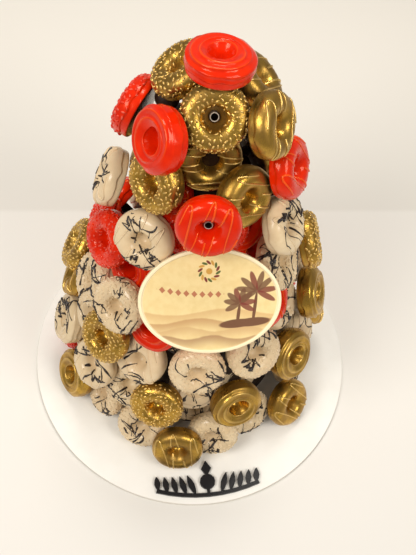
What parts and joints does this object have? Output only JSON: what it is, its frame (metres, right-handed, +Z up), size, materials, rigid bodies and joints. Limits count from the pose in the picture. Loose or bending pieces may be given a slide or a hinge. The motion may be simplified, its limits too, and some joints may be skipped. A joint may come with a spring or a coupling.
{
  "type": "chocolate pyramid",
  "caption": "Tower of moulded chocolate doughnuts in cream, gold and red round a dark core, with an oval plaque on its front, on a round white board.",
  "frame": {"origin": "centre of the board's underside", "axes": "+Z up through the tower's height, -Y towards the front, where the plaque is"},
  "size_m": [0.45, 0.45, 0.5667],
  "materials": {
    "board_white": "satin white covered cake board",
    "dark_chocolate": "dark chocolate, satin",
    "cream_icing": "glossy cream coloured chocolate",
    "gold_finish": "edible gold lustre on chocolate",
    "red_icing": "glossy orange-red coloured chocolate",
    "ivory_chocolate": "glossy printed ivory chocolate",
    "black_acrylic": "gloss black"
  },
  "bodies": {
    "root": {"board": "board_white", "core": "dark_chocolate", "plaque": "ivory_chocolate", "rim_ornament": "black_acrylic", "cream_doughnut_01": "cream_icing", "cream_doughnut_02": "cream_icing", "cream_doughnut_03": "cream_icing", "cream_doughnut_04": "cream_icing", "cream_doughnut_05": "cream_icing", "cream_doughnut_06": "cream_icing", "cream_doughnut_07": "cream_icing", "cream_doughnut_08": "cream_icing", "cream_doughnut_09": "cream_icing", "cream_doughnut_10": "cream_icing", "cream_doughnut_11": "cream_icing", "cream_doughnut_12": "cream_icing", "cream_doughnut_13": "cream_icing", "cream_doughnut_14": "cream_icing", "cream_doughnut_15": "cream_icing", "cream_doughnut_16": "cream_icing", "cream_doughnut_17": "cream_icing", "cream_doughnut_18": "cream_icing", "cream_doughnut_19": "cream_icing", "cream_doughnut_20": "cream_icing", "cream_doughnut_21": "cream_icing", "cream_doughnut_22": "cream_icing", "gold_doughnut_01": "gold_finish", "gold_doughnut_02": "gold_finish", "gold_doughnut_03": "gold_finish", "gold_doughnut_04": "gold_finish", "gold_doughnut_05": "gold_finish", "gold_doughnut_06": "gold_finish", "gold_doughnut_07": "gold_finish", "gold_doughnut_08": "gold_finish", "gold_doughnut_09": "gold_finish", "gold_doughnut_10": "gold_finish", "gold_doughnut_11": "gold_finish", "gold_doughnut_12": "gold_finish", "gold_doughnut_13": "gold_finish", "gold_doughnut_14": "gold_finish", "gold_doughnut_15": "gold_finish", "gold_doughnut_16": "gold_finish", "gold_doughnut_17": "gold_finish", "gold_doughnut_18": "gold_finish", "gold_doughnut_19": "gold_finish", "gold_doughnut_20": "gold_finish", "red_doughnut_01": "red_icing", "red_doughnut_02": "red_icing", "red_doughnut_03": "red_icing", "red_doughnut_04": "red_icing", "red_doughnut_05": "red_icing", "red_doughnut_06": "red_icing", "red_doughnut_07": "red_icing", "red_doughnut_08": "red_icing", "red_doughnut_09": "red_icing", "red_doughnut_10": "red_icing", "red_doughnut_11": "red_icing"}
  },
  "joints": []
}
